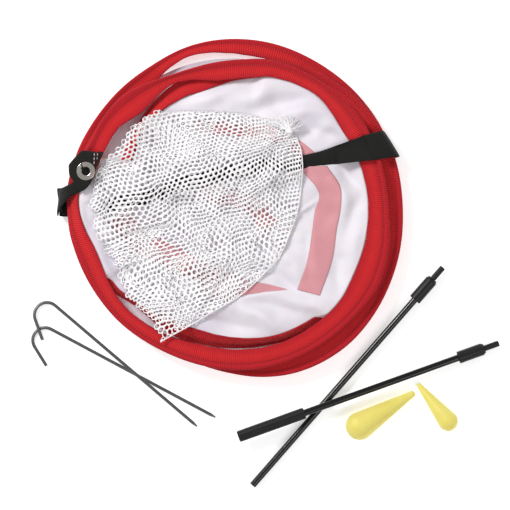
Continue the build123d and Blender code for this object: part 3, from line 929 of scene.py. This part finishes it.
# ---------------------------------------------------------------- the tab
GROMMET = (low("grommet_barrel") + high("grommet_barrel")) / 2
GROMMET_CUT = 4.3               # radius of the tab's hole round the barrel
TAB_OUTLINE = (
    (-119.5, 49.0), (-132.3, 50.6), (-139.4, 43.6), (-144.5, 37.4), (-144.0, 28.4), (-139.4, 21.4),
    (-134.1, 13.6), (-129.0, 16.4), (-124.2, 21.2), (-122.4, 30.0),
)
SEWN_OUTLINE = (
    (-119.3, 49.4), (-113.4, 49.1), (-115.4, 43.8), (-118.3, 39.0), (-121.4, 30.2), (-122.2, 30.4),
    (-120.6, 39.6),
)


def build_slab(name, outline, bottom, top, cut=None):
    """A sewn flat piece: a rounded outline, softened edges, and an eyelet hole if asked."""
    outline = np.array(outline, float)
    count = 96
    closed = np.vstack([outline, outline[:1]])
    place = walked_places(closed)
    along = np.linspace(0, place[-1], count, endpoint=False)
    rim = np.column_stack([np.interp(along, place, closed[:, k]) for k in (0, 1)])
    for _ in range(2):
        rim = sum(np.roll(rim, s, axis=0) * w for s, w in ((-1, 0.25), (0, 0.5), (1, 0.25)))
    middle = rim.mean(0) if cut is None else np.array(cut)
    hole = 0.02 if cut is None else GROMMET_CUT
    points, uv = [], []
    half = (top - bottom) / 2
    shares = (0.0, 0.12, 0.3, 0.5, 0.7, 0.85, 0.94, 0.985, 1.0)
    for level in (1, -1):
        for share in shares[::level]:
            for k in range(count):
                direction = rim[k] - middle
                inner = middle + direction / np.linalg.norm(direction) * hole
                point = inner + (rim[k] - inner) * share
                edge = 1 - share**14 * 0.75
                ripple = 0.35 * noise.noise(Vector((point[0] / 9, point[1] / 9, 3.0))) * share
                height = (top + bottom) / 2 + level * half * edge + ripple
                points.append((*point, height))
                uv.append((point[0] * MM, point[1] * MM))
    faces = grid_faces(2 * len(shares), count, close_rows=cut is not None, close_columns=True)
    return add_piece(name, points, faces, BLACK, uv)


tab_flap = build_slab("tab_cloth", TAB_OUTLINE, TAB_BOTTOM, TAB_TOP, (GROMMET.x, GROMMET.y))
tab_sewn = build_slab("tab_sewn_cloth", SEWN_OUTLINE, TAB_BOTTOM - 1.2, TAB_TOP - 1.0)


def run_stitches(name, line, height, material, stitch=2.6, gap=1.0, thickness=0.32):
    """A row of stitches along a line on a surface."""
    line = np.array(line, float)
    place = walked_places(line)
    parts = []
    start = 0.4
    while start + stitch < place[-1]:
        steps = np.linspace(start, start + stitch, 5)
        x, y = (np.interp(steps, place, line[:, k]) for k in (0, 1))
        arch = np.sin(np.linspace(0, pi, 5)) * 0.4 - 0.25
        points = np.column_stack([x, y, height + arch])
        parts.append(tube(points, thickness * np.array([0.6, 0.9, 1, 0.9, 0.6]), 6))
        start += stitch + gap
    return add_piece(name, *gather(parts), material)


tab_stitches = run_stitches("tab_stitches", ((-121.4, 48.2), (-121.6, 38.0)), TAB_TOP + 0.05, WHITE_THREAD)
sewn_stitches = run_stitches("sewn_stitches", ((-118.4, 48.2), (-119.2, 40.4)), TAB_TOP - 0.85,
                             WHITE_THREAD, 2.2, 1.2, 0.26)

# ---------------------------------------------------------------- the net pocket
POCKET_OUTLINE = (
    (-121, 28), (-113, 43), (-95, 63.5), (-66, 84), (-38, 85.4), (-13, 85.4), (15, 82.5), (36, 78),
    (50, 73), (58, 63), (62, 53), (64, 38), (63, 20), (58.5, -7), (52, -25), (44, -43), (28, -61),
    (8, -79), (-15, -93), (-39, -107), (-60, -118.5), (-66, -108), (-84, -84.5), (-96, -64),
    (-107, -46), (-123, -18), (-117.5, -12), (-119.5, -4), (-127, 2), (-125, 14),
)
KNOT = (52.5, 65.5)
NET_PITCH = 4.95
NET_HEADING = 17.0
NET_HOLE = 0.68                 # the hole's share of its cell
NET_YARN = 0.55                 # the yarn's thickness
NET_ROWS = 60                   # rows and columns of cells each way from the middle
NET_REACH = 300
NET_MARGIN = 1.3                # how far past the edge a cell's middle may lie
NET_SNAP = 20                   # corners nearer than a twentieth of a millimetre are one
HOLE_LIMIT = 0.42               # a hole's largest radius, of the pitch
HOLE_DROP = 0.28                # how far a hole's rim sinks
NET_SIDES = 12                  # corners of a cell's edge and of its hole
GATHER = 22.0                   # how far the gathers pull the net in, and over what distance
GATHER_REACH = 42.0
NET_FOLDS = (
    # line, height, sharpness, reach
    (((50, 49), (25, 55), (1, 54), (-28, 49), (-53, 42), (-84, 36), (-110, 26)), 5.5, 0.5, 20.0),
    (((20, 8), (34, 20), (50, 37)), 3.0, 0.5, 12.0),
    (((-104, -28), (-76, -18), (-46, -16)), 2.8, 0.7, 16.0),
    (((-30, -96), (-12, -70), (6, -50)), 2.6, 0.7, 18.0),
    (((-92, 30), (-100, 14), (-118, 8)), 2.2, 0.7, 14.0),
)
RAW_SIDE = -62.0                # left of this the pocket's edges are raw, not folded
SINGLE_PLACES = ((-4, 66, 12), (28, -10, 11), (30, -45, 12), (-55, -35, 13), (-60, -113, 9),
                 (-98, 50, 12), (-80, -2, 8))
STRAP_LINE = ((63, 39.4), (31, 37.0), (1, 32.0), (-30, 24.5), (-62, 13.6), (-92, 5.0), (-116, -1.5))


def net_rest(x, y):
    """The height at which the net rests: on the panel, over the strap and up onto the rim."""
    x, y = np.asarray(x, float), np.asarray(y, float)
    radius = np.hypot(x, y)
    edge, level = edge_at(x, y)
    onto_rim = step_up((radius - edge - 1.0) / 3.2)
    rim_level = np.maximum(level, 22.5) + 3.0
    over_panel = panel_height(x, y) * 0.5 + PANEL_MIDDLE * 0.5 + 1.2
    over_panel = over_panel + (level - PANEL_MIDDLE) * np.clip(radius / edge, 0, 1) ** 4 * 0.5
    height = over_panel * (1 - onto_rim) + rim_level * onto_rim
    away, _ = along_line(STRAP_LINE, x, y)
    return height + 2.6 * np.exp(-((away / 11) ** 2)) * (1 - onto_rim)


def net_folds(x, y):
    """The pocket's folds, and the pleats that fan out from its knot."""
    folds = sum(lap(x, y, line, rise, sharp, reach) for line, rise, sharp, reach in NET_FOLDS)
    reach = np.hypot(x - KNOT[0], y - KNOT[1])
    fan = np.arctan2(y - KNOT[1], x - KNOT[0])
    pleats = np.cos(fan * 21) * np.exp(-((reach / 34) ** 2)) * np.clip(reach / 10, 0, 1)
    return folds + 1.1 * pleats + 1.5 * rumple(x, y, 26, 21.0)


def slip(x, y):
    """How far the lower layer lies from under the upper one: not at all along the strap."""
    away, _ = along_line(STRAP_LINE, x, y)
    share = step_up((np.abs(away + 2) - 11) / 2.2)
    along = NET_PITCH * 0.50 + 3.4 * rumple(x, y, 30, 41.0)
    across = NET_PITCH * 0.29 + 3.4 * rumple(x, y, 30, 51.0)
    return np.column_stack([along * share, across * share])


def drift(plan, size, first, second):
    """A smooth sideways wander of points in plan."""
    return np.column_stack([rumple(*plan.T, size, first), rumple(*plan.T, size, second)])


def net_cells():
    """The middles of hexagonal cells over the pocket, in the net's own flat plan."""
    along = np.array([cos(radians(NET_HEADING)), sin(radians(NET_HEADING))])
    across = np.array([-along[1], along[0]])
    middles = []
    for row in range(-NET_ROWS, NET_ROWS + 1):
        for column in range(-NET_ROWS, NET_ROWS + 1):
            u = (column + 0.5 * (row % 2)) * NET_PITCH
            v = row * NET_PITCH * sqrt(3) / 2
            if hypot(u, v) < NET_REACH:
                middles.append((u, v))
    return middles, along, across


def gathered(flat):
    """Where a point of the flat net lies once the knot has pulled it in."""
    offset = flat - KNOT
    distance = np.linalg.norm(offset, axis=-1, keepdims=True) + 1e-9
    pulled = distance - GATHER * (1 - np.exp(-distance / GATHER_REACH))
    return KNOT + offset / distance * np.maximum(pulled, 0.15 * distance)


def build_net(name, lift, folds_share, slipped, seed):
    """One layer of the net: a hexagonal knit with round holes, cut to the outline."""
    middles, along, across = net_cells()
    rng = random.Random(seed)
    corner = NET_PITCH / sqrt(3)
    outline = np.array(POCKET_OUTLINE, float)
    keys, points_flat, faces, drops = {}, [], [], {}

    def vertex(u, v):
        key = (round(u * NET_SNAP), round(v * NET_SNAP))
        if key not in keys:
            keys[key] = len(points_flat)
            points_flat.append((u, v))
        return keys[key]

    for u, v in middles:
        place = gathered((u * along + v * across)[None])[0]
        beyond = not inside(outline, *place)
        if beyond and (place[0] < RAW_SIDE or nearest_on(outline, *place)[1] > NET_MARGIN):
            continue
        if slipped and any(hypot(place[0] - x, place[1] - y) < r for x, y, r in SINGLE_PLACES):
            continue
        rim = []
        for k in range(NET_SIDES):
            turn = radians(30 * k + 30)
            reach = corner if k % 2 == 0 else corner * cos(radians(30))
            rim.append(vertex(u + reach * cos(turn), v + reach * sin(turn)))
        swell = noise.noise(Vector((u / 19, v / 19, seed)))
        size = NET_HOLE * NET_PITCH / 2 * (1 + 0.35 * swell + rng.uniform(-0.12, 0.12))
        size = min(size, HOLE_LIMIT * NET_PITCH)
        stretch = 1 + 0.45 * noise.noise(Vector((u / 24, v / 24, seed + 5))) + rng.uniform(-0.10, 0.10)
        heading = rng.uniform(-0.3, 0.3)
        start = len(points_flat)
        for scale, drop in ((1.18, 0.0), (1.0, HOLE_DROP)):
            for k in range(NET_SIDES):
                turn = radians(30 * k + 30) + heading * 0.3
                points_flat.append((u + size * scale * stretch * cos(turn),
                                    v + size * scale / stretch * sin(turn)))
                drops[len(points_flat) - 1] = drop
        for k in range(NET_SIDES):
            after = (k + 1) % NET_SIDES
            faces.append((rim[k], rim[after], start + after, start + k))
            faces.append((start + k, start + after, start + NET_SIDES + after, start + NET_SIDES + k))
    flat = np.array(points_flat)
    plan = gathered(flat[:, :1] * along + flat[:, 1:] * across)
    if slipped:
        plan = plan + slip(*plan.T)
    plan += 5.0 * drift(plan, 30, 61.0, 71.0)
    plan += 1.6 * drift(plan, 13, seed + 61.0, seed + 71.0)
    outside = ~inside(outline, plan[:, 0], plan[:, 1]) & (plan[:, 0] > RAW_SIDE)
    for index in np.nonzero(outside)[0]:
        foot, _ = nearest_on(outline, *plan[index])
        plan[index] = foot + (plan[index] - foot) * 0.12
    plan += 0.22 * drift(plan, 7, seed + 0.3, seed + 9.3)
    x, y = plan.T
    height = net_rest(x, y) + lift + folds_share * net_folds(x, y)
    drop = np.array([drops.get(index, 0.0) for index in range(len(x))])
    height = np.minimum(height, POCKET_TOP + 0.4) - drop
    piece = add_piece(name, np.column_stack([x, y, height]), faces, NET)
    add_modifier(piece, "SOLIDIFY", thickness=NET_YARN * MM, offset=-1)
    return piece


net_upper = build_net("pocket_net_upper", 1.5, 1.0, False, 31)
net_lower = build_net("pocket_net_lower", 0.4, 0.6, True, 47)


def build_net_edge():
    """The folded edge of the pocket, from the knot round to the far tip."""
    start, end = POCKET_OUTLINE.index((58, 63)), POCKET_OUTLINE.index((-60, -118.5))
    x, y = smooth_line(POCKET_OUTLINE[start:end + 1], 200).T
    level = np.minimum(net_rest(x, y) + 1.0 + 0.8 * net_folds(x, y), POCKET_TOP)
    level = level + 0.3 * np.sin(np.arange(200) * 1.9)
    return add_piece("pocket_net_edge", *tube(np.column_stack([x, y, level]), np.full(200, 0.55), 7), NET)


net_edge = build_net_edge()


TUFT_YARNS = 120


def build_tuft():
    """The gathered neck: yarns that run in over the net, through the tie, and fray beyond it."""
    rng = random.Random(7)
    level = net_rest(*(np.array([c]) for c in KNOT))[0] + 4.6
    parts = []
    for _ in range(TUFT_YARNS):
        fan = radians(rng.uniform(190, 300))
        reach = rng.uniform(0.5, 2.5)
        begin = np.array([KNOT[0] + reach * cos(fan), KNOT[1] + reach * sin(fan), 0.0])
        begin[2] = net_rest(begin[:1], begin[1:2])[0] + rng.uniform(2.4, 4.0)
        turn = rng.uniform(0, 2 * pi)
        size = rng.uniform(0.4, 2.0)
        tied = np.array([KNOT[0] - 0.5 + size * cos(turn), KNOT[1] + 2.5, level + size * sin(turn) * 0.7])
        spread = rng.gauss(0, 0.58)
        length = rng.uniform(9, 17)
        end = tied + length * np.array([sin(spread) - 0.12, cos(spread) * 0.95, rng.uniform(-0.25, 0.16)])
        bend = np.array([rng.uniform(-2.2, 2.2), rng.uniform(-1.4, 1.4), rng.uniform(-0.8, 0.8)])
        line = smooth_line([begin, begin * 0.4 + tied * 0.6, tied, tied * 0.5 + end * 0.5 + bend, end], 13)
        line[:, 2] = np.minimum(line[:, 2], POCKET_TOP + 0.9)
        parts.append(tube(line, np.linspace(0.48, 0.26, len(line)), 5))
    return add_piece("pocket_tuft", *gather(parts), NET), level


tuft, knot_level = build_tuft()


TIE_TURNS = 3.3
TIE_RADIUS = 2.9


def build_tie():
    """A few turns of cord round the neck."""
    steps = np.linspace(0, TIE_TURNS * 2 * pi, 90)
    line = np.column_stack([
        KNOT[0] - 0.5 + TIE_RADIUS * np.cos(steps),
        KNOT[1] + 1.0 + steps / steps[-1] * 3.0,
        knot_level + TIE_RADIUS * 0.8 * np.sin(steps),
    ])
    return add_piece("pocket_cord", *tube(line, np.full(90, 0.65), 8), NET)


tie = build_tie()

# ---------------------------------------------------------------- bodies, and the imported parts the pieces stand in for
pocket_pieces = (net_upper, net_lower, net_edge, tuft, tie)
for body, pieces in (
    ("net_bundle", (binding, binding_stitches, binding_seam, panel, panel_back, *ring_pieces,
                    strap, strap_tail, tab_sewn, sewn_stitches)),
    ("tab", (tab_flap, tab_stitches)),
    ("pocket", pocket_pieces),
):
    for piece in pieces:
        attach(piece, body)

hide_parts("hoop_binding", "hoop_wire", "hoop_sleeve")
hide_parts("target_panel")
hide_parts("target_ring")
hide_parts("storage_strap")
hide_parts("tab_sewn_end")
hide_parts("tab_flap")
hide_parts("pocket_net")
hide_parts("pocket_tie")

# ---------------------------------------------------------------- floor, light and camera
floor_mesh = bpy.data.meshes.new("floor")
FLOOR = 3.0
floor_mesh.from_pydata(
    [(-FLOOR, -FLOOR, 0), (FLOOR, -FLOOR, 0), (FLOOR, FLOOR, 0), (-FLOOR, FLOOR, 0)], [], [(0, 1, 2, 3)]
)
floor_mesh.materials.append(floor_paper())
add_object("floor", floor_mesh)

world = bpy.data.worlds.new("studio")
bpy.context.scene.world = world
world.use_nodes = True
world.node_tree.nodes["Background"].inputs["Color"].default_value = (1.0, 1.0, 1.0, 1)
world.node_tree.nodes["Background"].inputs["Strength"].default_value = 0.40


def area_light(name, place, aim, size, power):
    """A square soft box at a place, aimed at a point, in metres."""
    data = bpy.data.lights.new(name, "AREA")
    data.size = size
    data.energy = power
    light = add_object(name, data)
    light.location = place
    light.rotation_euler = (Vector(aim) - Vector(place)).to_track_quat("-Z", "Y").to_euler()


area_light("key", (-1.05, 0.95, 1.25), (0, 0, 0), 0.5, 26)
area_light("fill", (1.1, -0.9, 1.7), (0, 0, 0), 1.2, 14)

camera_data = bpy.data.cameras.new("camera")
camera_data.lens = 196
camera_data.sensor_width = 36
camera_data.clip_end = 20
camera = add_object("camera", camera_data)
camera.location = (0.0216, -0.04275, 2.5)
bpy.context.scene.camera = camera
bpy.context.scene.view_settings.view_transform = "Standard"

bpy.context.view_layer.update()
